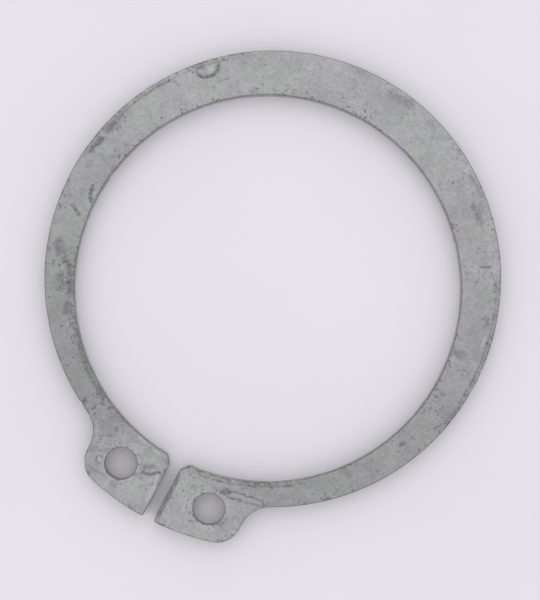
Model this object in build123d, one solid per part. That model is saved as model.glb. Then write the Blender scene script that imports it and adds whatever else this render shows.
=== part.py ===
"""External retaining ring (circlip) for a grooved 35 mm shaft: one flat, blanked spring-steel piece.

The frame: the origin is on the shaft's axis, in the plane of the underside. +Z is along the shaft.
The gap and its two lugs are at -Y, and the ring is symmetric about the YZ plane. Lengths are in mm.
"""

import os

from build123d import *

# Band that grips the groove. It tapers evenly from its back, at +Y, to the lugs, at -Y.
BORE_DIAMETER = 32.2  # relaxed; the groove of a 35 mm shaft, 33 mm across, holds it sprung open
THICKNESS = 1.5
BACK_WIDTH = 3.82  # radial width of the band opposite the gap
FRONT_WIDTH = 1.98  # radial width that the band's taper reaches at the gap

# Lugs, one on each side of the gap.
GAP = 1.0  # between the two flat end faces, relaxed
LUG_HEIGHT = 5.5  # from the bore to the lugs' outer edge, which is concentric with the bore
LUG_WIDTH = 6.65  # from an end face to the lug's flank
LUG_ROOT_RADIUS = 2.65  # hollow corner between the flank and the band
LUG_CORNER_RADIUS = 2.1  # round corner between the flank and the outer edge
LUG_TIP_RADIUS = 0.2  # round corner between the end face and the outer edge
ROUND_ALONG_FLANK = 0.7  # length that a round takes up along the flank, for each 1 of radius
BEVEL_ON_BORE = 0.5  # clipped corner between the bore and the end face, measured along X
BEVEL_ON_GAP = 0.65  # the same corner, measured along Y

# Pliers holes, placed by the metal that is left round them.
HOLE_DIAMETER = 2.65
HOLE_TO_GAP = 2.3  # metal between the hole and the end face
HOLE_TO_OUTER_EDGE = 1.3  # metal between the hole and the lugs' outer edge

# Edges as the press tool leaves them.
ROLLED_EDGE_RADIUS = 0.2  # top face, where the punch drew the metal down
TUMBLED_EDGE_RADIUS = 0.1  # underside, where tumbling took the burr off

bore_radius = BORE_DIAMETER / 2
band_radius = bore_radius + (BACK_WIDTH + FRONT_WIDTH) / 2
band_offset = (BACK_WIDTH - FRONT_WIDTH) / 2
lug_radius = bore_radius + LUG_HEIGHT
flank_x = GAP / 2 + LUG_WIDTH


def on_circle_y(radius: float, x: float) -> float:
    """Height of the lower half of an origin-centred circle at x."""
    return -((radius**2 - x**2) ** 0.5)


def flank_rounds() -> tuple[float, float]:
    """Radii of the lugs' corner and root, made smaller together where the flank is too short."""
    flank_length = band_offset + on_circle_y(band_radius, flank_x) - on_circle_y(lug_radius, flank_x)
    needed_length = ROUND_ALONG_FLANK * (LUG_CORNER_RADIUS + LUG_ROOT_RADIUS)
    share = min(1, flank_length / needed_length)
    return share * LUG_CORNER_RADIUS, share * LUG_ROOT_RADIUS


def blank_outline() -> Sketch:
    """Outside shape of the blank: the eccentric disc with the lugs' block standing out of it."""
    disc = Pos(0, band_offset) * Circle(band_radius)
    block = Rectangle(2 * flank_x, lug_radius, align=(Align.CENTER, Align.MAX)) & Circle(lug_radius)
    outline = disc + block
    corner_radius, root_radius = flank_rounds()
    on_flank = outline.vertices().filter_by(lambda v: abs(abs(v.X) - flank_x) < 1e-3)
    outline = fillet(on_flank.sort_by(Axis.Y)[:2], corner_radius)
    on_flank = outline.vertices().filter_by(lambda v: abs(abs(v.X) - flank_x) < 1e-3)
    return fillet(on_flank.sort_by(Axis.Y)[-2:], root_radius)


def end_gap() -> Sketch:
    """Slot between the two end faces, with its mouth at the bore widened by the clipped corners."""
    end_x = GAP / 2
    bore_y = on_circle_y(bore_radius, end_x + BEVEL_ON_BORE)
    slot = Rectangle(GAP, 2 * lug_radius, align=(Align.CENTER, Align.MAX))
    mouth = Polygon(
        (-end_x - BEVEL_ON_BORE, bore_y),
        (-end_x, bore_y - BEVEL_ON_GAP),
        (end_x, bore_y - BEVEL_ON_GAP),
        (end_x + BEVEL_ON_BORE, bore_y),
        (0, 0),
        align=None,
    )
    return slot + mouth


def pliers_holes() -> Sketch:
    """The two holes that the pliers' tips go into."""
    hole_radius = HOLE_DIAMETER / 2
    hole_x = GAP / 2 + HOLE_TO_GAP + hole_radius
    hole_y = on_circle_y(lug_radius - HOLE_TO_OUTER_EDGE - hole_radius, hole_x)
    return Sketch() + [Pos(x, hole_y) * Circle(hole_radius) for x in (-hole_x, hole_x)]


def flat_profile() -> Sketch:
    """The ring's plan: the blank less its bore, gap and holes, with the lugs' tips rounded."""
    profile = blank_outline() - Circle(bore_radius) - end_gap()
    tips = profile.vertices().sort_by(Axis.Y)[:2]
    return fillet(tips, LUG_TIP_RADIUS) - pliers_holes()


def retaining_ring() -> Part:
    """The whole ring, with its rolled upper edges and tumbled lower ones."""
    ring = extrude(flat_profile(), THICKNESS)
    ring = fillet(ring.edges().group_by(Axis.Z)[-1], ROLLED_EDGE_RADIUS)
    return fillet(ring.edges().group_by(Axis.Z)[0], TUMBLED_EDGE_RADIUS)


os.makedirs("parts", exist_ok=True)
export_step(retaining_ring(), "parts/retaining_ring.step")
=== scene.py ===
"""The looks of an external retaining ring: a worn, coated spring-steel circlip lying flat on a pale table.

The CAD node gives the outline. The visible piece is built from it with the section that a press
tool leaves on a blanked edge, and with the dents, gouges and stains of use. Everything is worked
out in millimetres and scaled to metres at the end. The frame is the CAD's: the origin is on the
shaft's axis in the plane of the underside, +Z is up, and the gap and its two lugs are at -Y.
"""

import logging
import math
from dataclasses import dataclass, field
from enum import Enum
from typing import Any

import bmesh
import bpy
from mathutils import Matrix, Vector, geometry, kdtree, noise


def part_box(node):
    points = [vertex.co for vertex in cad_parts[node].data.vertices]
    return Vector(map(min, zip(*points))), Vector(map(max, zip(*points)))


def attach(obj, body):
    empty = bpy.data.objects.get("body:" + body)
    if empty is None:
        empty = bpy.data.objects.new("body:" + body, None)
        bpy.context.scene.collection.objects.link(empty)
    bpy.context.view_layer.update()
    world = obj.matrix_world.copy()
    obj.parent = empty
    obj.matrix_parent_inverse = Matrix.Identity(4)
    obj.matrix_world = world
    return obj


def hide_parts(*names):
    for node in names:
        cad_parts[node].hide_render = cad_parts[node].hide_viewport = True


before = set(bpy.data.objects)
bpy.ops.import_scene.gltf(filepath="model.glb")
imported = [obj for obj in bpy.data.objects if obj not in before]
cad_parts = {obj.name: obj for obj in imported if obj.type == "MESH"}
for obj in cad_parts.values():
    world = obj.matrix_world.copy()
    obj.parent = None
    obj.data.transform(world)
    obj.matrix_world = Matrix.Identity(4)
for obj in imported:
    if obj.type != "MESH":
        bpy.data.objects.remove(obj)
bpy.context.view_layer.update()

log = logging.getLogger("retaining_ring")

MM = 0.001  # one millimetre in the scene's metres
NODE = "retaining_ring"
SHARP_CORNER = math.radians(20)  # a larger turn than this between two chords of the outline is a corner
BODY = "root"

CAMERA_TURN = math.radians(27.5)  # how far the camera is turned about +Z, so that the gap is lower left


# ---------------------------------------------------------------- marks of use


class Soil(Enum):
    """What a mark is filled with, each kept in its own attribute of the mesh."""

    DIRT = "dirt"
    RUST = "rust"
    # rubbed metal, and painted highlights along some edges and round the pliers holes
    RUB = "rub_and_highlight"


@dataclass(frozen=True)
class Mark:
    """A dent, gouge, scratch, stain, painted shade or painted highlight on the top face, along a line of points or
    round a single one.

    Lengths are in mm. The darkening goes from 0 to 1: `soil_amount` is at the mark's middle and
    `rim_amount` along its outline.
    """

    points: tuple[tuple[float, float], ...]
    half_width: float
    depth: float = 0.0
    lip: float = 0.0
    soil_amount: float = 0.0
    rim_amount: float = 0.0
    soil: Soil = Soil.DIRT

    def distance(self, spot: Vector) -> float:
        """Distance from a spot to the mark's line, as a share of its half width."""
        near = 1e9
        ends = [Vector(p) for p in self.points]
        for start, end in zip(ends, ends[1:] or ends):
            along = end - start
            length = along.length_squared
            share = 0.0 if length == 0 else max(0.0, min(1.0, (spot - start).dot(along) / length))
            near = min(near, (spot - start - along * share).length)
        return near / self.half_width

    def reach(self) -> tuple[Vector, float]:
        """Middle of the mark and the radius outside which it has no effect."""
        ends = [Vector(p) for p in self.points]
        middle = sum(ends, Vector((0, 0))) / len(ends)
        return middle, max((p - middle).length for p in ends) + 2.2 * self.half_width


# The wear as it lies on the ring, with some painted shade and highlights along edges, in mm in the ring's own frame.
GOUGES = (
    # Right lug: one long tool mark with a raised, dirty outline.
    Mark(((4.7, -16.65), (6.2, -16.4), (7.7, -16.1)), 0.25, 0.03, 0.012, 0.35, 1.0),
    Mark(((4.45, -16.8), (5.0, -16.5)), 0.2, 0.02, 0.0, 1.0, 0.3),
    Mark(((7.7, -16.4), (8.2, -16.1), (8.3, -15.7)), 0.1, 0.02, 0.0, 0.6, 0.1),
    # Left lug: a slash next to the pliers hole, and scratches towards the flank.
    Mark(((-2.15, -18.3), (-1.6, -18.3), (-1.2, -17.9), (-0.85, -17.75)), 0.15, 0.035, 0.01, 1.0, 0.15),
    Mark(((-0.85, -17.7), (-0.55, -17.45)), 0.06, 0.015, 0.0, 0.5, 0.0),
    Mark(((-2.75, -18.8), (-2.2, -18.45)), 0.13, 0.02, 0.01, 0.5, 0.5),
    Mark(((-2.5, -18.1), (-1.9, -17.75)), 0.1, 0.015, 0.0, 0.5, 0.0),
    Mark(((-6.4, -20.0), (-5.6, -20.05), (-4.9, -20.0)), 0.12, 0.03, 0.0, 0.45, 0.1),
    Mark(((-6.9, -18.4), (-5.9, -18.25), (-5.1, -17.9)), 0.2, 0.02, 0.0, 0.3, 0.1),
    Mark(((-6.7, -17.3), (-5.8, -16.8)), 0.14, 0.02, 0.0, 0.45, 0.0),
    Mark(((-2.9, -17.1), (-2.6, -16.3)), 0.1, 0.01, 0.0, 0.25, 0.0),
    Mark(((-1.9, -19.6), (-1.2, -19.0), (-0.8, -18.6)), 0.1, 0.02, 0.0, 0.3, 0.0),
    # Back of the band: a curved dent by the outer edge, and short scratches.
    Mark(((-13.3, 13.1), (-12.8, 13.1), (-12.35, 13.5), (-12.05, 14.1), (-12.2, 14.6)), 0.18, 0.04, 0.02, 0.95, 0.2),
    Mark(((-13.6, 13.2), (-13.3, 13.9)), 0.14, 0.03, 0.0, 0.45, 0.1),
    Mark(((-11.6, 13.3), (-11.2, 13.75), (-10.9, 14.1)), 0.1, 0.02, 0.0, 0.5, 0.0),
    Mark(((-15.3, 11.7), (-14.7, 11.65), (-14.3, 11.6)), 0.12, 0.03, 0.0, 0.5, 0.1),
    Mark(((-16.2, 10.1), (-15.7, 10.9), (-15.0, 11.6)), 0.1, 0.03, 0.0, 0.35, 0.0),
    Mark(((14.9, 9.75), (15.6, 10.15)), 0.09, 0.04, 0.01, 1.0, 0.2),
    Mark(((15.9, 9.7), (16.5, 9.2), (16.9, 8.4)), 0.09, 0.03, 0.0, 0.6, 0.0),
)

PITS = (
    Mark(((-5.85, -19.05),), 0.3, 0.06, 0.02, 0.0, 0.8),
    Mark(((-18.0, 2.2), (-17.9, 2.5)), 0.22, 0.03, 0.01, 0.35, 0.5),
    Mark(((-2.1, -18.85),), 0.16, 0.04, 0.01, 0.7, 0.3),
    Mark(((-1.0, -18.85),), 0.17, 0.04, 0.01, 0.7, 0.3),
    Mark(((-1.3, -19.5),), 0.14, 0.03, 0.0, 0.5, 0.2),
    Mark(((-6.2, -20.45),), 0.14, 0.03, 0.0, 0.9, 0.2),
    Mark(((-12.75, 13.85),), 0.42, 0.05, 0.0, 0.0, 0.15),
    Mark(((-11.75, 12.75),), 0.17, 0.03, 0.0, 0.65, 0.1),
    Mark(((-10.5, 13.5),), 0.15, 0.03, 0.0, 0.6, 0.1),
    Mark(((-8.8, 16.4),), 0.1, 0.03, 0.0, 0.8, 0.0),
    Mark(((-3.5, 17.3),), 0.08, 0.03, 0.0, 0.8, 0.0),
    Mark(((-8.7, 13.9),), 0.2, 0.02, 0.0, 0.5, 0.1),
    Mark(((13.7, 9.2),), 0.13, 0.03, 0.0, 0.6, 0.2),
    Mark(((14.3, 9.45),), 0.12, 0.03, 0.0, 0.6, 0.2),
    Mark(((14.1, 8.75),), 0.13, 0.03, 0.0, 0.5, 0.2),
    Mark(((7.85, -14.5),), 0.2, 0.05, 0.0, 1.0, 0.2),
    Mark(((15.9, -6.35),), 0.27, 0.05, 0.0, 0.85, 0.2),
    Mark(((14.3, -8.7),), 0.12, 0.02, 0.0, 0.5, 0.0),
    Mark(((4.2, -16.0),), 0.1, 0.02, 0.0, 0.4, 0.0),
    Mark(((2.2, -17.5),), 0.22, 0.02, 0.0, 0.15, 0.35),
)

STAINS_RUBS_AND_PAINTED_LIGHT = (
    Mark(((-2.4, -18.0), (-1.7, -17.6)), 0.3, soil_amount=0.5),
    Mark(((-3.9, -20.3),), 0.33, soil_amount=0.55),
    Mark(((-6.9, -18.7),), 0.38, soil_amount=0.4),
    Mark(((-5.75, -16.2),), 0.24, soil_amount=0.7),
    Mark(((-5.2, -16.05),), 0.2, soil_amount=0.5),
    Mark(((-9.15, -15.3),), 0.24, soil_amount=0.9),
    Mark(((-8.6, -13.7), (-8.4, -14.1)), 0.22, soil_amount=0.7),
    Mark(((-16.0, 2.9),), 0.24, soil_amount=0.75, soil=Soil.RUST),
    Mark(((-17.75, 5.9), (-17.3, 6.2)), 0.38, soil_amount=0.6),
    Mark(((-17.85, 5.4), (-17.6, 6.3), (-17.4, 7.2)), 0.15, soil_amount=1.0),
    Mark(((-18.35, 3.4), (-18.2, 4.0), (-17.95, 4.7)), 0.24, soil_amount=0.95),
    Mark(((-17.4, 3.5), (-17.1, 3.3)), 0.17, soil_amount=0.35),
    Mark(((-16.85, 0.9), (-16.75, 0.2), (-16.4, -0.4)), 0.15, soil_amount=1.0),
    Mark(((-17.6, -1.3), (-16.7, -1.8)), 0.2, soil_amount=0.75),
    Mark(((-17.2, -4.6), (-16.7, -5.2)), 0.44, soil_amount=0.62),
    Mark(((-16.1, -5.6), (-15.4, -6.0)), 0.34, soil_amount=0.75),
    Mark(((-15.3, -6.2), (-14.9, -7.1), (-14.5, -7.9)), 0.32, soil_amount=0.85),
    Mark(((-15.7, -7.0), (-15.3, -7.8)), 0.44, soil_amount=0.62),
    Mark(((-14.3, -8.8), (-13.9, -9.5)), 0.25, soil_amount=0.65),
    Mark(((-12.6, -10.3), (-11.2, -11.95), (-9.1, -13.7)), 0.16, soil_amount=0.55),
    Mark(((1.6, 19.2), (2.5, 19.1), (3.4, 19.1)), 0.42, soil_amount=0.45),
    Mark(((10.6, 16.1), (11.3, 15.7), (12.2, 15.0)), 0.16, soil_amount=0.5),
    Mark(((12.1, 14.0), (12.6, 13.5), (13.1, 13.0)), 0.34, soil_amount=0.55),
    Mark(((17.2, 6.2), (17.6, 5.7)), 0.2, soil_amount=0.6),
    Mark(((16.2, 2.5), (16.9, 2.5)), 0.4, soil_amount=0.55),
    Mark(((17.0, -1.1),), 0.24, soil_amount=0.35),
    Mark(((17.4, -2.4),), 0.22, soil_amount=0.35),
    Mark(((16.4, -5.4),), 0.16, soil_amount=0.5),
    Mark(((15.1, -9.2),), 0.2, soil_amount=0.45),
    Mark(((12.5, -10.5), (13.1, -10.6)), 0.34, soil_amount=0.4),
    # Painted shade: dark lines along the rolled edges at the gap, on both lugs.
    Mark(((0.7, -17.2), (0.68, -19.4), (0.7, -21.2)), 0.16, soil_amount=0.9),
    Mark(((-0.62, -17.4), (-0.62, -18.6)), 0.09, soil_amount=0.5),
    # Painted highlights: thin light lines where the burr and rolled edge catch the light, on the left lug's gap and
    # inner edges and the outer edge at the right.
    Mark(((-0.9, -17.9), (-0.85, -19.2), (-0.85, -20.3)), 0.09, soil_amount=0.8, soil=Soil.RUB),
    Mark(((-1.6, -16.4), (-2.3, -16.2)), 0.09, soil_amount=1.0, soil=Soil.RUB),
    Mark(((-3.1, -16.05), (-3.8, -15.85)), 0.09, soil_amount=1.0, soil=Soil.RUB),
    Mark(((17.9, 5.0), (18.0, 3.9)), 0.06, soil_amount=1.0, soil=Soil.RUB),
    # Rubbed, burnished metal in a dent, a pit and the right lug's gouge.
    Mark(((-12.7, 14.0),), 0.4, soil_amount=0.8, soil=Soil.RUB),
    Mark(((-5.85, -19.05),), 0.17, soil_amount=0.7, soil=Soil.RUB),
    Mark(((5.3, -16.5), (6.4, -16.35), (7.6, -16.15)), 0.16, soil_amount=0.5, soil=Soil.RUB),
)

# Stretches of edge where use has drawn the metal down further: on the bore or not, from and to in degrees.
WORN_STRETCHES = (
    (False, 126.0, 172.0),
    (False, -10.0, 30.0),
    (True, -150.0, -114.0),
    (True, -86.0, -52.0),
)

WEAR_BLEND = 9.0  # degrees over which a worn stretch begins and ends

# Nicks knocked into the edge: where, how far along the edge they reach and how deep, in mm.
NICKS = (
    ((-9.35, -15.55), 0.3, 0.09),
    ((7.7, -14.15), 0.2, 0.05),
    ((-18.4, 3.9), 0.5, 0.06),
    ((-17.7, 6.5), 0.6, 0.06),
    ((17.9, 5.5), 0.4, 0.05),
    ((15.3, 11.5), 0.35, 0.05),
    ((-0.6, -20.9), 0.5, 0.05),
    ((-6.9, -19.9), 0.4, 0.06),
    ((-16.0, 2.3), 0.4, 0.06),
)


# ---------------------------------------------------------------- the ring's mesh


@dataclass
class Column:
    """One place along an outline: the point on the full-size edge and the way into the metal."""

    point: Vector
    inward: Vector
    loop: int


@dataclass(frozen=True)
class Level:
    """One step down the edge's section, in shares of the roll or in mm from the full-size edge."""

    inset: float
    height: float
    # share of painted shade on the rolled edge, from 0 at the top face to 1 at the roll's foot and on the walls
    edge: float
    rough: float


@dataclass
class EdgeSection:
    """The section of a blanked edge, from the top face to the underside, in mm."""

    thickness: float
    roll_width: float = 0.16
    roll_depth: float = 0.11
    worn_roll_width: float = 0.37
    worn_roll_depth: float = 0.15
    hole_roll_width: float = 0.14
    gap_roll_width: float = 0.27  # on the right lug's edge at the gap
    gap_roll_span: tuple[float, float] = (-20.9, -17.6)  # stretch of that edge, along Y
    roll_steps: int = 6
    shear_share: float = 0.42  # share of the thickness, from below, where the metal tore
    tear_inset: float = 0.035
    tumble_radius: float = 0.09
    wall_steps: int = 4
    tumble_steps: int = 3

    def roll_size(self, column: Column) -> tuple[float, float]:
        """Width and depth of the rolled edge at a column.

        Args:
            column: the place along the outline.

        Returns:
            The width inwards and the depth down, in mm.
        """
        wobble = 1 + 0.3 * noise.noise(Vector((column.point.x * 0.9, column.point.y * 0.9, 3.7)))
        if column.loop > 0:
            return self.hole_roll_width * wobble, self.roll_depth * 0.7
        if column.inward.x > 0.9 and 0 < column.point.x < 1:
            share = smooth_band(column.point.y, *self.gap_roll_span, 0.8)
            width = self.roll_width + (self.gap_roll_width - self.roll_width) * share
            return width * wobble, self.roll_depth * wobble
        worn = wear_of_edge(column)
        width = self.roll_width + (self.worn_roll_width - self.roll_width) * worn
        depth = self.roll_depth + (self.worn_roll_depth - self.roll_depth) * worn
        return width * wobble, depth * wobble

    def levels(self, column: Column) -> list[Level]:
        """The section's steps at a column, from the rim of the top face to that of the underside."""
        width, depth = self.roll_size(column)
        steps = []
        for i in range(self.roll_steps + 1):
            turn = math.pi / 2 * i / self.roll_steps
            steps.append(Level(width * (1 - math.sin(turn)), self.thickness - depth * (1 - math.cos(turn)),
                               i / self.roll_steps, 0.0))
        roll_foot = self.thickness - depth
        tear_top = self.thickness * self.shear_share
        tear_top += 0.12 * noise.noise(Vector((column.point.x * 0.7, column.point.y * 0.7, 9.1)))
        for i in range(1, self.wall_steps + 1):
            steps.append(Level(0.0, roll_foot + (tear_top - roll_foot) * i / self.wall_steps, 1.0, 0.2))
        tumble_top = self.tumble_radius
        for i in range(1, self.wall_steps + 1):
            share = i / self.wall_steps
            steps.append(Level(self.tear_inset * min(1.0, 2 * share), tear_top + (tumble_top - tear_top) * share,
                               1.0, 1.0))
        for i in range(1, self.tumble_steps + 1):
            turn = math.pi / 2 * i / self.tumble_steps
            steps.append(Level(self.tear_inset + self.tumble_radius * (1 - math.cos(turn)),
                               tumble_top * (1 - math.sin(turn)), 1.0 - i / self.tumble_steps, 0.3))
        return steps


def wear_of_edge(column: Column) -> float:
    """How worn the edge is at a column, from 0 to 1."""
    angle = math.degrees(math.atan2(column.point.y, column.point.x))
    facing = column.inward.dot(column.point) / column.point.length
    if abs(facing) < 0.5:
        return 0.0
    stretches = [(start, end) for bore, start, end in WORN_STRETCHES if bore == (facing > 0)]
    return max(smooth_band(angle, start, end, WEAR_BLEND) for start, end in stretches)


def smooth_band(value: float, start: float, end: float, blend: float) -> float:
    """1 between start and end and 0 outside, with a soft change at each side.

    Args:
        value: the place to look at.
        start: where the band starts.
        end: where it ends.
        blend: width of the soft change.

    Returns:
        The share, from 0 to 1.
    """
    inside = min(value - start, end - value) / blend
    share = max(0.0, min(1.0, inside + 0.5))
    return share * share * (3 - 2 * share)


@dataclass
class RetainingRing:
    """The one piece: a flat ring with two lugs, built round the outline of its CAD node."""

    column_step: float = 0.24
    top_step: float = 0.115
    under_step: float = 0.24
    rim_margin: float = 0.07
    edge_wave: float = 0.018
    face_wave: float = 0.012
    top_drop: float = 0.035  # room under the CAD's top face for waves and raised lips
    tear_grit: float = 0.014
    rim_reach: float = 0.32  # how far from an edge its flecks fade away
    under_wave: float = 0.02
    sharp_shading: float = math.radians(50)
    thickness: float = field(default=0.0, init=False)
    columns: list[Column] = field(default_factory=list, init=False)
    tree: Any = field(default=None, init=False)
    layers: dict[str, Any] = field(default_factory=dict, init=False)

    def build(self) -> bpy.types.Object:
        """Builds the ring's mesh and object.

        Returns:
            The finished object, at the origin, with its place in its mesh.
        """
        loops = self.outline_loops()
        self.columns = [column for i, loop in enumerate(loops) for column in self.columns_on(loop, i)]
        self.tree = kdtree.KDTree(len(self.columns))
        for i, column in enumerate(self.columns):
            self.tree.insert((column.point.x, column.point.y, 0), i)
        self.tree.balance()
        low, high = (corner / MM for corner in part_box(NODE))
        self.thickness = high.z
        mesh = bmesh.new()
        # the edge layer holds painted shade on the rolled edges, and the rub layer rubbed metal and painted
        # highlights
        self.layers = {name: mesh.verts.layers.float.new(name) for name in ("dirt", "rust", "rub_and_highlight", "edge", "rim")}
        rims = self.extrude_edges(mesh)
        self.fill_face(mesh, rims[0], self.top_step, low, high)
        self.fill_face(mesh, rims[1], self.under_step, low, high)
        bmesh.ops.dissolve_degenerate(mesh, dist=1e-3, edges=mesh.edges)
        self.wear_top(mesh)
        self.wear_underside(mesh)
        bmesh.ops.triangulate(mesh, faces=mesh.faces, quad_method="BEAUTY", ngon_method="BEAUTY")
        bmesh.ops.recalc_face_normals(mesh, faces=mesh.faces)
        open_edges = sum(not edge.is_manifold for edge in mesh.edges)
        if open_edges:
            raise RuntimeError(f"the ring isn't closed: {open_edges} open edges")
        self.assign_finishes(mesh)
        return self.as_object(mesh)

    def as_object(self, mesh: bmesh.types.BMesh) -> bpy.types.Object:
        """Scales the finished mesh to metres and puts it in an object.

        Args:
            mesh: the mesh in mm, which is freed.

        Returns:
            The object.
        """
        bmesh.ops.scale(mesh, vec=(MM, MM, MM), verts=mesh.verts)
        data = bpy.data.meshes.new("worn_ring")
        mesh.to_mesh(data)
        mesh.free()
        data.shade_smooth()
        data.set_sharp_from_angle(angle=self.sharp_shading)
        ring = bpy.data.objects.new("worn_ring", data)
        bpy.context.scene.collection.objects.link(ring)
        return ring

    def outline_loops(self) -> list[list[Vector]]:
        """The outline's closed loops, read from the upper rim of the CAD node's straight walls.

        Returns:
            The ring's outline, counterclockwise, and then each pliers hole, clockwise, in mm.
        """
        source = bmesh.new()
        source.from_mesh(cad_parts[NODE].data)
        bmesh.ops.scale(source, vec=(1 / MM,) * 3, verts=source.verts)
        bmesh.ops.remove_doubles(source, verts=source.verts, dist=1e-4)
        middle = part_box(NODE)[1].z / MM / 2
        rim = min(v.co.z for v in source.verts if v.co.z > middle)
        others = [v for v in source.verts if abs(v.co.z - rim) > 1e-3]
        bmesh.ops.delete(source, geom=others, context="VERTS")
        loops = []
        unused = set(source.verts)
        while unused:
            first = min(unused, key=lambda v: (v.co.x, v.co.y))
            loop, vertex = [], first
            while vertex in unused:
                unused.discard(vertex)
                loop.append(vertex.co.xy)
                following = [e.other_vert(vertex) for e in vertex.link_edges]
                vertex = next((v for v in following if v in unused), first)
            loops.append(loop)
        source.free()
        loops.sort(key=lambda loop: -abs(signed_area(loop)))
        for i, loop in enumerate(loops):
            wanted = 1 if i == 0 else -1
            if signed_area(loop) * wanted < 0:
                loop.reverse()
        return loops

    def columns_on(self, loop: list[Vector], number: int) -> list[Column]:
        """Evenly spaced columns along a loop, on smooth arcs between its points.

        Args:
            loop: the loop's points in order, with the metal on the left.
            number: which loop it is.

        Returns:
            The columns in the same order.
        """
        count = len(loop)
        points = []
        for i in range(count):
            start, end = loop[i], loop[(i + 1) % count]
            chord = end - start
            before, after = start - loop[i - 1], loop[(i + 2) % count] - end
            leave = tangent(chord, before)
            arrive = tangent(chord, after)
            third = chord.length / 3
            steps = max(1, math.ceil(chord.length / self.column_step))
            spots = geometry.interpolate_bezier(start, start + leave * third, end - arrive * third, end, steps + 1)
            points += [Vector(spot) for spot in spots[:-1]]
        columns = []
        for i, point in enumerate(points):
            before = (point - points[i - 1]).normalized()
            after = (points[(i + 1) % len(points)] - point).normalized()
            normals = Vector((-before.y, before.x)), Vector((-after.y, after.x))
            inward = (normals[0] + normals[1]).normalized()
            inward /= max(0.6, inward.dot(normals[0]))
            columns.append(Column(point, inward, number))
        return columns

    def edge_bite(self, column: Column) -> float:
        """How far the edge stands in from its full size at a column, from waves and nicks, in mm."""
        spot = Vector((column.point.x, column.point.y, 0))
        bite = self.edge_wave * (0.5 + 0.5 * noise.fractal(spot * 1.3, 0.8, 2.2, 3))
        for (x, y), reach, depth in NICKS:
            share = (column.point - Vector((x, y))).length / reach
            if share < 1:
                bite += depth * (1 - share * share) ** 2
        return max(0.0, bite)

    def extrude_edges(self, mesh: bmesh.types.BMesh) -> tuple[list[Any], list[Any]]:
        """Extrudes the edge's section down along every outline.

        Args:
            mesh: the mesh to add to.

        Returns:
            The edges round the top face and those round the underside.
        """
        section = EdgeSection(self.thickness)
        steps = [section.levels(column) for column in self.columns]
        bites = [self.edge_bite(column) for column in self.columns]
        groups: dict[int, list[int]] = {}
        for i, column in enumerate(self.columns):
            groups.setdefault(column.loop, []).append(i)
        place = {}
        verts = []
        for i, column in enumerate(self.columns):
            vert = mesh.verts.new((column.point.x, column.point.y, 0))
            verts.append(vert)
            place[vert] = i
        edges = []
        for members in groups.values():
            for a, b in zip(members, members[1:] + members[:1]):
                edges.append(mesh.edges.new((verts[a], verts[b])))
        top_rim = edges
        for row in range(len(steps[0])):
            if row > 0:
                made = bmesh.ops.extrude_edge_only(mesh, edges=edges)["geom"]
                edges = [e for e in made if isinstance(e, bmesh.types.BMEdge)]
                fresh = [v for v in made if isinstance(v, bmesh.types.BMVert)]
                older = place
                place = {}
                for vert in fresh:
                    place[vert] = next(older[e.other_vert(vert)] for e in vert.link_edges
                                       if e.other_vert(vert) in older)
            for vert, i in place.items():
                self.set_level(vert, self.columns[i], steps[i][row], bites[i])
        return top_rim, edges

    def set_level(self, vert: Any, column: Column, level: Level, bite: float) -> None:
        """Puts a vertex of the edge in its place on the section and notes the painted shade that its colour gets
        there.

        Args:
            vert: the vertex.
            column: its column.
            level: its step on the section.
            bite: how far the edge stands in from its full size, in mm.
        """
        grit = 0.0
        if level.rough > 0:
            spot = Vector((column.point.x * 5, column.point.y * 5, level.height * 4))
            grit = self.tear_grit * level.rough * (0.5 + 0.5 * noise.noise(spot))
        flat = column.point + column.inward * (level.inset + bite + grit)
        vert.co = Vector((flat.x, flat.y, level.height))
        # painted shade: the rolled edge darkens towards its foot, less where the edge is worn
        vert[self.layers["edge"]] = level.edge * (1 - 0.6 * wear_of_edge(column))

    def fill_face(self, mesh: bmesh.types.BMesh, rim: list[Any], step: float, low: Vector, high: Vector) -> None:
        """Fills a flat face with a fine grid, joined to its rim by triangles.

        Args:
            mesh: the mesh to add to.
            rim: the edges round the face.
            step: size of the grid's cells, in mm.
            low: lowest corner of the node's box, in mm.
            high: highest corner of the node's box, in mm.
        """
        height = rim[0].verts[0].co.z
        size = high - low
        middle = (high + low) / 2
        place = Matrix.Translation((middle.x, middle.y, height)) @ Matrix.Diagonal((size.x / 2, size.y / 2, 1, 1))
        grid = bmesh.ops.create_grid(mesh, x_segments=round(size.x / step), y_segments=round(size.y / step),
                                     size=1, matrix=place)["verts"]
        outside = [v for v in grid if not self.is_inside(v.co, step)]
        kept = set(grid) - set(outside)
        bmesh.ops.delete(mesh, geom=outside, context="VERTS")
        for _ in range(2):
            loose = [v for v in kept if v.is_valid and len(v.link_faces) == 0]
            bmesh.ops.delete(mesh, geom=loose, context="VERTS")
            kept -= set(loose)
            wires = {e for v in kept for e in v.link_edges if len(e.link_faces) == 0}
            bmesh.ops.delete(mesh, geom=list(wires), context="EDGES")
        border = [e for e in mesh.edges if e.is_boundary and e.verts[0] in kept]
        facing = self.by_outline(rim)
        for number, edges in self.by_outline(border).items():
            bmesh.ops.triangle_fill(mesh, use_beauty=True, use_dissolve=False, normal=(0, 0, 1),
                                    edges=edges + facing[number])

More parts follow.
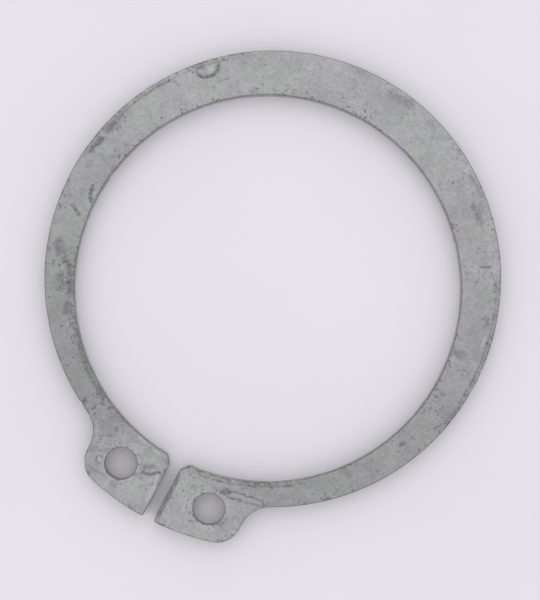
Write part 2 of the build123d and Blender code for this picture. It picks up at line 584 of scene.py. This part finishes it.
    def by_outline(self, edges: list[Any]) -> dict[int, list[Any]]:
        """Sorts edges into closed loops, and the loops by the outline that each one follows.

        Args:
            edges: edges that form one or more closed loops.

        Returns:
            The edges of each outline, by the outline's number.
        """
        found: dict[int, list[Any]] = {}
        unused = set(edges)
        for first in edges:
            if first not in unused:
                continue
            unused.discard(first)
            loop, ahead = [], [first]
            while ahead:
                edge = ahead.pop()
                loop.append(edge)
                for beside in (e for vert in edge.verts for e in vert.link_edges if e in unused):
                    unused.discard(beside)
                    ahead.append(beside)
            votes = [self.columns[self.tree.find((*e.verts[0].co.xy, 0))[1]].loop for e in loop]
            found.setdefault(max(sorted(set(votes)), key=votes.count), []).extend(loop)
        return found

    def is_inside(self, spot: Vector, step: float) -> bool:
        """Whether a spot is far enough inside the metal to belong to a face's grid.

        Args:
            spot: the place, in mm.
            step: size of the grid's cells, in mm.

        Returns:
            True if it belongs to the grid.
        """
        _, index, _ = self.tree.find((spot.x, spot.y, 0))
        column = self.columns[index]
        room = (spot.xy - column.point).dot(column.inward)
        return room > self.rolled_room(column) + self.rim_margin + step * 0.3

    def rolled_room(self, column: Column) -> float:
        """Room that the rolled edge and the bite take up at a column, in mm."""
        return EdgeSection(self.thickness).roll_size(column)[0] + self.edge_bite(column)

    def wear_top(self, mesh: bmesh.types.BMesh) -> None:
        """Presses the waves, gouges and pits into the top face and notes the soil on it, painted shade and highlights
        included.
        """
        reaches = [(mark, *mark.reach()) for mark in GOUGES + PITS + STAINS_RUBS_AND_PAINTED_LIGHT]
        for vert in mesh.verts:
            if vert.co.z < self.thickness * 0.8:
                continue
            spot = vert.co.xy
            deep = Vector((spot.x, spot.y, 0))
            wave = self.face_wave * noise.fractal(deep * 0.35, 1.0, 2.0, 2)
            peel = 0.004 * noise.noise(deep * 3.1)
            relief = wave + peel
            soils = {soil: 0.0 for soil in Soil}
            for mark, middle, reach in reaches:
                if (spot - middle).length > reach:
                    continue
                jitter = 0.42 * noise.noise(deep * 3.0 + Vector((7, 3, 1)))
                jitter += 0.42 * noise.noise(deep * 5.0)
                share = mark.distance(spot) + jitter
                relief += mark_relief(mark, share)
                soils[mark.soil] = max(soils[mark.soil], mark_soil(mark, share))
            ceiling = self.thickness - 0.001
            vert.co.z = min(ceiling, vert.co.z - self.top_drop + relief)
            self.soil_rim(vert, deep, soils)
            for soil, amount in soils.items():
                vert[self.layers[soil.value]] = amount

    def soil_rim(self, vert: Any, deep: Vector, soils: dict[Soil, float]) -> None:
        """Notes how near a vertex is to an edge, the grime that worn edges have, and a painted highlight round each
        pliers hole.

        Args:
            vert: the vertex.
            deep: its place, at no height.
            soils: the soils on it so far, which this adds to.
        """
        column = self.columns[self.tree.find(deep)[1]]
        room = max(0.0, (deep.xy - column.point).dot(column.inward))
        vert[self.layers["rim"]] = math.exp(-room / self.rim_reach) * (0.8 + 0.7 * wear_of_edge(column))
        if column.loop > 0:
            # painted highlight: a thin light ring just outside each pliers hole's rolled edge
            soils[Soil.RUB] = max(soils[Soil.RUB], 0.3 * smooth_band(room, 0.14, 0.28, 0.08))
            return
        worn = wear_of_edge(column)
        if worn > 0:
            broken = 0.6 + 0.9 * noise.noise(deep * 1.7) + 0.9 * noise.noise(deep * 4.0)
            line = smooth_band(room, 0.3, 0.44, 0.12)
            soils[Soil.DIRT] = max(soils[Soil.DIRT], worn * line * max(0.0, broken))
            soils[Soil.DIRT] = max(soils[Soil.DIRT], 0.3 * worn * smooth_band(room, -1, 0.3, 0.1) * max(0.0, broken))

    def wear_underside(self, mesh: bmesh.types.BMesh) -> None:
        """Lifts the underside by shallow waves, so that it isn't perfectly flat either."""
        for vert in mesh.verts:
            if vert.co.z < 1e-4:
                spot = Vector((vert.co.x, vert.co.y, 5.0))
                vert.co.z = max(0.0, self.under_wave * noise.fractal(spot * 0.4, 1.0, 2.0, 2))
                vert[self.layers["dirt"]] = max(0.0, 0.8 * noise.fractal(spot * 0.9, 0.7, 2.0, 3) - 0.15)

    def assign_finishes(self, mesh: bmesh.types.BMesh) -> None:
        """Gives the sheared walls their own finish, and the faces and rolled edges the coated one."""
        for face in mesh.faces:
            middle = face.calc_center_median()
            wall = abs(face.normal.z) < 0.35 and middle.z < self.thickness * 0.9
            face.material_index = 1 if wall else 0


def signed_area(loop: list[Vector]) -> float:
    """Area inside a closed loop, positive if it runs counterclockwise."""
    return sum(a.x * b.y - b.x * a.y for a, b in zip(loop, loop[1:] + loop[:1])) / 2


def tangent(chord: Vector, neighbour: Vector) -> Vector:
    """Direction of a smooth curve where a chord meets its neighbour, or the chord's own at a sharp corner."""
    own, other = chord.normalized(), neighbour.normalized()
    if own.dot(other) < math.cos(SHARP_CORNER):
        return own
    return (own * neighbour.length + other * chord.length).normalized()


def mark_relief(mark: Mark, share: float) -> float:
    """Height that a mark adds at a place, in mm, where share is the distance in half widths."""
    if share < 1:
        return -mark.depth * (1 - share * share)
    if share < 1.9:
        return mark.lip * math.sin((share - 1) / 0.9 * math.pi)
    return 0.0


def mark_soil(mark: Mark, share: float) -> float:
    """Soil that a mark leaves at a place, from 0 to 1."""
    core = mark.soil_amount * max(0.0, 1 - max(0.0, share) ** 2 / 1.4)
    rim = mark.rim_amount * max(0.0, 1 - abs(share - 1) / 0.45)
    return max(core, rim)


# ---------------------------------------------------------------- finishes


class Graph:
    """A node tree that is filled in the order in which its values are worked out."""

    def __init__(self, tree: bpy.types.NodeTree) -> None:
        """Starts with an empty tree."""
        self.tree = tree
        tree.nodes.clear()

    def add(self, kind: str, inputs: dict[Any, Any] | None = None, **settings: Any) -> bpy.types.Node:
        """Adds a node.

        Args:
            kind: the node's type name.
            inputs: values or sockets for its inputs, by name or number.
            settings: its properties.

        Returns:
            The node.
        """
        node = self.tree.nodes.new(kind)
        for name, value in settings.items():
            setattr(node, name, value)
        for name, value in (inputs or {}).items():
            if isinstance(value, bpy.types.NodeSocket):
                self.tree.links.new(value, node.inputs[name])
            else:
                node.inputs[name].default_value = value
        return node

    def math(self, operation: str, a: Any, b: Any = 0.0, clamp: bool = False) -> bpy.types.NodeSocket:
        """One sum of two values."""
        return self.add("ShaderNodeMath", {0: a, 1: b}, operation=operation, use_clamp=clamp).outputs[0]

    def mix(self, share: Any, a: Any, b: Any, blend: str = "MIX") -> bpy.types.NodeSocket:
        """A mix of two colours."""
        node = self.add("ShaderNodeMix", data_type="RGBA", blend_type=blend)
        for name, value in (("Factor_Float", share), ("A_Color", a), ("B_Color", b)):
            socket = next(s for s in node.inputs if s.identifier == name)
            if isinstance(value, bpy.types.NodeSocket):
                self.tree.links.new(value, socket)
            else:
                socket.default_value = value
        return next(s for s in node.outputs if s.identifier == "Result_Color")

    def noise(self, vector: Any, scale: float, detail: float = 2.0, rough: float = 0.5) -> bpy.types.NodeSocket:
        """Noise from about 0.3 to 0.7, where scale is in features for each mm."""
        node = self.add("ShaderNodeTexNoise", {"Vector": vector, "Scale": scale, "Detail": detail,
                                               "Roughness": rough}, noise_dimensions="3D")
        return node.outputs["Fac"]

    def span(self, value: Any, low: float, high: float, to_low: float = 0.0,
             to_high: float = 1.0) -> bpy.types.NodeSocket:
        """Maps a value softly from one span to another, kept within it.

        Args:
            value: the value or socket to map.
            low: where the first span starts.
            high: where it ends.
            to_low: the result up to the first span's start.
            to_high: the result from its end.

        Returns:
            The mapped value.
        """
        node = self.add("ShaderNodeMapRange", {0: value, 1: low, 2: high, 3: to_low, 4: to_high},
                        interpolation_type="SMOOTHSTEP")
        return node.outputs[0]

    def attribute(self, name: str) -> bpy.types.NodeSocket:
        """A value that the mesh holds at each vertex."""
        return self.add("ShaderNodeAttribute", attribute_name=name, attribute_type="GEOMETRY").outputs["Fac"]

    def millimetres(self) -> bpy.types.NodeSocket:
        """The place on the object, in mm."""
        place = self.add("ShaderNodeTexCoord").outputs["Object"]
        return self.add("ShaderNodeMapping", {"Vector": place, "Scale": (1 / MM,) * 3}).outputs[0]

    def moved(self, vector: Any, offset: tuple[float, float, float],
              scale: tuple[float, float, float] = (1, 1, 1)) -> bpy.types.NodeSocket:
        """A place moved and stretched, so that two patterns don't fall on each other."""
        return self.add("ShaderNodeMapping", {"Vector": vector, "Location": offset, "Scale": scale}).outputs[0]


def new_group(name: str, inputs: dict[str, tuple[str, Any]], outputs: dict[str, str]) -> tuple[Graph, Any, Any]:
    """Starts a node group.

    Args:
        name: its name.
        inputs: each input's socket type and first value, by name.
        outputs: each output's socket type, by name.

    Returns:
        The graph, and the group's input and output nodes.
    """
    tree = bpy.data.node_groups.new(name, "ShaderNodeTree")
    for label, (kind, value) in inputs.items():
        socket = tree.interface.new_socket(label, in_out="INPUT", socket_type=kind)
        if value is not None:
            socket.default_value = value
    for label, kind in outputs.items():
        tree.interface.new_socket(label, in_out="OUTPUT", socket_type=kind)
    graph = Graph(tree)
    return graph, graph.add("NodeGroupInput"), graph.add("NodeGroupOutput")


def grey(value: float, red: float = 1.0, green: float = 1.0, blue: float = 1.0) -> tuple[float, ...]:
    """A near-grey colour, tinted by its three factors."""
    return (value * red, value * green, value * blue, 1.0)


@dataclass(frozen=True)
class Coating:
    """The dull coat on the steel, as linear colours: its body, its tints and what soils it."""

    body: float = 0.405
    metallic: float = 0.55
    green: tuple[float, float, float] = (0.968, 1.02, 0.972)
    lavender: tuple[float, float, float] = (0.99, 0.985, 1.025)
    cloud_depth: float = 0.07

    def mottle_group(self) -> bpy.types.NodeTree:
        """The coat's uneven colour: cool and warm tints, large clouds and fine flecks."""
        graph, given, result = new_group(
            "coat_mottle",
            {"Place": ("NodeSocketVector", None), "Body": ("NodeSocketFloat", self.body)},
            {"Color": "NodeSocketColor", "Cloud": "NodeSocketFloat"},
        )
        place, body = given.outputs["Place"], given.outputs["Body"]
        tint = graph.noise(place, 0.24, 3.0, 0.5)
        tinted = graph.mix(graph.span(tint, 0.4, 0.6), grey(1, *self.lavender), grey(1, *self.green))
        warm = graph.noise(graph.moved(place, (31, 7, 0)), 0.7, 5.0, 0.7)
        tinted = graph.mix(graph.span(warm, 0.5, 0.7, 0.0, 0.6), tinted, grey(1, 1.035, 1.01, 0.92))
        bruise = graph.noise(graph.moved(place, (19, 3, 0)), 0.5, 5.0, 0.68)
        tinted = graph.mix(graph.span(bruise, 0.52, 0.62, 0.0, 0.8), tinted, grey(1, 0.87, 0.87, 0.925))
        cloud = graph.noise(graph.moved(place, (5, 11, 0)), 0.16, 3.0, 0.55)
        shade = graph.span(cloud, 0.32, 0.68, 1 - self.cloud_depth, 1 + self.cloud_depth)
        blotch = graph.noise(graph.moved(place, (2, 17, 4)), 0.8, 6.0, 0.72)
        shade = graph.math("MULTIPLY", shade, graph.span(blotch, 0.28, 0.72, 0.91, 1.09))
        fine = graph.noise(place, 3.4, 3.0, 0.75)
        shade = graph.math("MULTIPLY", shade, graph.span(fine, 0.28, 0.72, 0.88, 1.12))
        # darker towards -Y, the side of the gap, and lighter again over the lugs
        along = graph.add("ShaderNodeSeparateXYZ", {0: place}).outputs["Y"]
        dull = graph.span(along, -15.0, 17.0, 0.865, 1.07)
        lugs = graph.span(along, -17.5, -15.0, 1.2, 1.0)
        shade = graph.math("MULTIPLY", shade, graph.math("MULTIPLY", dull, lugs))
        shade = graph.math("MULTIPLY", shade, body)
        spread = graph.add("ShaderNodeCombineColor", {0: shade, 1: shade, 2: shade}).outputs[0]
        color = graph.mix(1.0, tinted, spread, "MULTIPLY")
        graph.tree.links.new(color, result.inputs["Color"])
        graph.tree.links.new(cloud, result.inputs["Cloud"])
        return graph.tree

    def fleck_group(self) -> bpy.types.NodeTree:
        """Small dark flecks that gather in patches, and the mask of their fine breaks."""
        graph, given, result = new_group(
            "dark_flecks",
            {"Place": ("NodeSocketVector", None), "Amount": ("NodeSocketFloat", 0.5)},
            {"Mask": "NodeSocketFloat", "Break": "NodeSocketFloat"},
        )
        place, amount = given.outputs["Place"], given.outputs["Amount"]
        patch = graph.noise(graph.moved(place, (13, 2, 0)), 0.4, 3.0, 0.6)
        room = graph.math("ADD", graph.span(patch, 0.42, 0.66, -0.05, 0.07), amount)
        flecks = graph.noise(graph.moved(place, (0, 23, 8)), 3.6, 3.0, 0.6)
        over = graph.math("SUBTRACT", graph.math("ADD", flecks, room), 0.64)
        mask = graph.math("MULTIPLY", over, 16.0, clamp=True)
        spots = graph.add("ShaderNodeTexVoronoi", {"Vector": graph.moved(place, (3, 4, 0)), "Scale": 1.5})
        chosen = graph.add("ShaderNodeSeparateColor", {0: spots.outputs["Color"]})
        fewer = graph.math("SUBTRACT", 0.9, graph.math("MULTIPLY", room, 3.0))
        picked = graph.math("GREATER_THAN", chosen.outputs[0], fewer)
        size = graph.math("MULTIPLY_ADD", chosen.outputs[1], 0.13)
        size.node.inputs[2].default_value = 0.09
        dot = graph.math("MULTIPLY", graph.math("SUBTRACT", size, spots.outputs["Distance"]), 14.0, clamp=True)
        mask = graph.math("MAXIMUM", mask, graph.math("MULTIPLY", dot, picked))
        broken = graph.span(graph.noise(place, 3.5, 5.0, 0.78), 0.36, 0.62)
        graph.tree.links.new(mask, result.inputs["Mask"])
        graph.tree.links.new(broken, result.inputs["Break"])
        return graph.tree

    def grain_group(self) -> bpy.types.NodeTree:
        """The fine grain of the coat and of torn metal, as a height."""
        graph, given, result = new_group(
            "surface_grain",
            {"Place": ("NodeSocketVector", None), "Scale": ("NodeSocketFloat", 9.0)},
            {"Height": "NodeSocketFloat"},
        )
        place = given.outputs["Place"]
        node = graph.add("ShaderNodeTexNoise", {"Vector": place, "Scale": given.outputs["Scale"], "Detail": 4.0,
                                                "Roughness": 0.6})
        dimples = graph.add("ShaderNodeTexVoronoi", {"Vector": place, "Scale": 3.1}, feature="SMOOTH_F1")
        height = graph.math("ADD", node.outputs["Fac"], graph.math("MULTIPLY", dimples.outputs["Distance"], 0.35))
        graph.tree.links.new(height, result.inputs["Height"])
        return graph.tree


@dataclass
class Finishes:
    """The ring's two finishes, which share the coating's effects."""

    coating: Coating
    mottle: Any = field(default=None, init=False)
    flecks: Any = field(default=None, init=False)
    grain: Any = field(default=None, init=False)

    def groups(self) -> None:
        """Builds the shared effects once."""
        self.mottle = self.coating.mottle_group()
        self.flecks = self.coating.fleck_group()
        self.grain = self.coating.grain_group()

    def start(self, name: str) -> tuple[Graph, bpy.types.Material]:
        """An empty material and its graph."""
        material = bpy.data.materials.new(name)
        material.use_nodes = True
        return Graph(material.node_tree), material

    def coated_face(self) -> bpy.types.Material:
        """The coated faces and rolled edges, with the soil, rubs, painted shade and painted highlights that the mesh
        marks.
        """
        graph, material = self.start("coated_spring_steel")
        place = graph.millimetres()
        coat = graph.add("ShaderNodeGroup", {}, node_tree=self.mottle)
        graph.tree.links.new(place, coat.inputs["Place"])
        coat.inputs["Body"].default_value = self.coating.body
        flecks = graph.add("ShaderNodeGroup", {}, node_tree=self.flecks)
        graph.tree.links.new(place, flecks.inputs["Place"])
        rim = graph.math("MULTIPLY", graph.attribute("rim"), 0.15)
        graph.tree.links.new(rim, flecks.inputs["Amount"])
        broken = graph.math("MULTIPLY_ADD", flecks.outputs["Break"], 0.72)
        broken.node.inputs[2].default_value = 0.34
        dirt = graph.math("MULTIPLY", graph.attribute("dirt"), broken, clamp=True)
        dirt = graph.math("MAXIMUM", dirt, graph.math("MULTIPLY", flecks.outputs["Mask"], 0.6))
        color = graph.mix(graph.math("MULTIPLY", dirt, 0.8), coat.outputs["Color"], grey(0.07, 1.0, 1.02, 0.98))
        # lighter for rubbed metal, and painted highlights along some edges and round the pliers holes
        rub_and_highlight = graph.math("MULTIPLY", graph.attribute("rub_and_highlight"), 0.6)
        color = graph.mix(rub_and_highlight, color, grey(0.66))
        rust = graph.math("MULTIPLY", graph.attribute("rust"), broken)
        color = graph.mix(graph.math("MULTIPLY", rust, 0.6), color, (0.26, 0.12, 0.09, 1))
        # painted shade on the rolled edges, darkest at their foot
        edge = graph.span(graph.attribute("edge"), 0.15, 0.75)
        color = graph.mix(graph.math("MULTIPLY", edge, 0.72), color, grey(0.09))
        rough = graph.span(coat.outputs["Cloud"], 0.3, 0.7, 0.46, 0.6)
        rough = graph.math("ADD", rough, graph.math("MULTIPLY", dirt, 0.2))
        grain = graph.add("ShaderNodeGroup", {}, node_tree=self.grain)
        graph.tree.links.new(place, grain.inputs["Place"])
        height = graph.math("SUBTRACT", grain.outputs["Height"], graph.math("MULTIPLY", dirt, 0.5))
        bump = graph.add("ShaderNodeBump", {"Height": height, "Strength": 0.35, "Distance": 0.012 * MM})
        self.finish(graph, color, rough, bump)
        return material

    def sheared_wall(self) -> bpy.types.Material:
        """The punched walls: drawn smooth in their upper part and torn below."""
        graph, material = self.start("sheared_spring_steel")
        place = graph.millimetres()
        coat = graph.add("ShaderNodeGroup", {}, node_tree=self.mottle)
        graph.tree.links.new(place, coat.inputs["Place"])
        coat.inputs["Body"].default_value = self.coating.body * 0.9
        height_mm = graph.add("ShaderNodeSeparateXYZ", {0: place}).outputs["Z"]
        wobble = graph.math("MULTIPLY", graph.noise(place, 0.8, 3.0, 0.6), 0.5)
        torn = graph.span(graph.math("ADD", height_mm, wobble), 0.83, 0.93, 1.0, 0.0)
        streaks = graph.noise(graph.moved(place, (0, 0, 0), (7.0, 7.0, 0.35)), 1.0, 3.0, 0.6)
        drawn = graph.mix(graph.span(streaks, 0.35, 0.65), grey(0.82), grey(1.12))
        tearing = graph.noise(place, 4.5, 4.0, 0.65)
        pulled = graph.mix(graph.span(tearing, 0.35, 0.65), grey(0.55), grey(0.95))
        color = graph.mix(1.0, coat.outputs["Color"], graph.mix(torn, drawn, pulled), "MULTIPLY")
        flecks = graph.add("ShaderNodeGroup", {}, node_tree=self.flecks)
        graph.tree.links.new(place, flecks.inputs["Place"])
        flecks.inputs["Amount"].default_value = 0.02
        color = graph.mix(graph.math("MULTIPLY", flecks.outputs["Mask"], 0.5), color, grey(0.12))
        rough = graph.math("MULTIPLY_ADD", torn, 0.22)
        rough.node.inputs[2].default_value = 0.44
        grain = graph.add("ShaderNodeGroup", {}, node_tree=self.grain)
        graph.tree.links.new(place, grain.inputs["Place"])
        grain.inputs["Scale"].default_value = 5.0
        coarse = graph.math("MULTIPLY", graph.math("ADD", grain.outputs["Height"], tearing), torn)
        height = graph.math("ADD", coarse, graph.math("MULTIPLY", streaks, 0.7))
        bump = graph.add("ShaderNodeBump", {"Height": height, "Strength": 0.6, "Distance": 0.03 * MM})
        self.finish(graph, color, rough, bump)
        return material

    def finish(self, graph: Graph, color: Any, rough: Any, bump: Any) -> None:
        """Puts the shader and the output at the end of a material.

        Args:
            graph: the material's graph.
            color: socket of the base colour.
            rough: socket of the roughness.
            bump: the bump node.
        """
        shader = graph.add("ShaderNodeBsdfPrincipled", {"Base Color": color, "Roughness": rough,
                                                        "Metallic": self.coating.metallic, "Normal": bump.outputs[0]})
        graph.add("ShaderNodeOutputMaterial", {"Surface": shader.outputs[0]})


# ---------------------------------------------------------------- the studio


@dataclass(frozen=True)
class Studio:
    """A pale table under soft light, seen from straight above."""

    table_color: tuple[float, float, float] = (0.776, 0.753, 0.807)
    table_size: float = 2.0
    side_light: float = 1.1
    overhead_light: float = 0.84  # less than from the sides, because the camera stands in the way
    key_power: float = 0.13
    key_size: float = 0.3
    key_distance: float = 0.4
    key_tilt: float = math.radians(40)
    lens: float = 100.0
    camera_height: float = 0.140
    camera_aim: tuple[float, float] = (0.000607, -0.000751)

    def build_table(self) -> bpy.types.Object:
        """The plain table top that the ring lies on."""
        mesh = bmesh.new()
        bmesh.ops.create_grid(mesh, x_segments=1, y_segments=1, size=self.table_size / 2)
        bmesh.ops.translate(mesh, vec=(0, 0, -0.005 * MM), verts=mesh.verts)
        data = bpy.data.meshes.new("table")
        mesh.to_mesh(data)
        mesh.free()
        table = bpy.data.objects.new("table", data)
        bpy.context.scene.collection.objects.link(table)
        material = bpy.data.materials.new("pale_table")
        material.use_nodes = True
        graph = Graph(material.node_tree)
        cloud = graph.noise(graph.millimetres(), 0.05, 2.0, 0.5)
        color = graph.mix(graph.span(cloud, 0.35, 0.65), (*self.table_color, 1),
                          (*(value * 0.985 for value in self.table_color), 1))
        shader = graph.add("ShaderNodeBsdfPrincipled", {"Base Color": color, "Roughness": 0.9,
                                                        "Specular IOR Level": 0.0})
        graph.add("ShaderNodeOutputMaterial", {"Surface": shader.outputs[0]})
        data.materials.append(material)
        return table

    def build_sky(self) -> None:
        """A pale world, dimmer overhead, which the camera and reflections see in the table's colour."""
        world = bpy.data.worlds.new("studio")
        world.use_nodes = True
        bpy.context.scene.world = world
        graph = Graph(world.node_tree)
        ray = graph.add("ShaderNodeLightPath")
        seen = graph.math("MAXIMUM", ray.outputs["Is Camera Ray"], ray.outputs["Is Glossy Ray"])
        seen = graph.math("MAXIMUM", seen, ray.outputs["Is Transmission Ray"])
        direction = graph.add("ShaderNodeTexCoord").outputs["Generated"]
        upward = graph.add("ShaderNodeSeparateXYZ", {0: direction}).outputs["Z"]
        strength = graph.span(upward, 0.45, 0.95, self.side_light, self.overhead_light)
        light = graph.add("ShaderNodeBackground", {"Color": (1, 1, 1, 1), "Strength": strength})
        backdrop = graph.add("ShaderNodeBackground", {"Color": (*self.table_color, 1), "Strength": 1.0})
        mixed = graph.add("ShaderNodeMixShader", {0: seen, 1: light.outputs[0], 2: backdrop.outputs[0]})
        graph.add("ShaderNodeOutputWorld", {"Surface": mixed.outputs[0]})

    def build_key_lamp(self) -> None:
        """One broad soft lamp, tilted to the side that the camera has at the top."""
        data = bpy.data.lights.new("key_lamp", "AREA")
        data.shape = "DISK"
        data.size = self.key_size
        data.energy = self.key_power
        lamp = bpy.data.objects.new("key_lamp", data)
        bpy.context.scene.collection.objects.link(lamp)
        up = Vector((-math.sin(CAMERA_TURN), math.cos(CAMERA_TURN), 0))
        lamp.location = (up * math.sin(self.key_tilt) + Vector((0, 0, math.cos(self.key_tilt)))) * self.key_distance
        lamp.rotation_euler = (-lamp.location).to_track_quat("-Z", "Y").to_euler()

    def build_camera(self) -> None:
        """The camera, looking straight down."""
        data = bpy.data.cameras.new("camera")
        data.lens = self.lens
        data.sensor_width = 36
        data.clip_start = 0.01
        data.clip_end = 10
        camera = bpy.data.objects.new("camera", data)
        bpy.context.scene.collection.objects.link(camera)
        camera.location = (*self.camera_aim, self.camera_height)
        camera.rotation_euler = (0, 0, CAMERA_TURN)
        bpy.context.scene.camera = camera

    def build(self) -> None:
        """Sets up the table, the light and the camera."""
        table = self.build_table()
        self.build_sky()
        self.build_key_lamp()
        self.build_camera()
        bpy.context.scene.view_settings.view_transform = "Standard"


def main() -> None:
    logging.basicConfig(level=logging.INFO, format="%(name)s: %(message)s")
    Studio().build()
    log.info("studio ready")
    ring = RetainingRing().build()
    finishes = Finishes(Coating())
    finishes.groups()
    ring.data.materials.append(finishes.coated_face())
    ring.data.materials.append(finishes.sheared_wall())
    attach(ring, BODY)
    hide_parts(NODE)
    log.info("%s: %d faces", ring.name, len(ring.data.polygons))


if __name__ == "__main__":
    main()
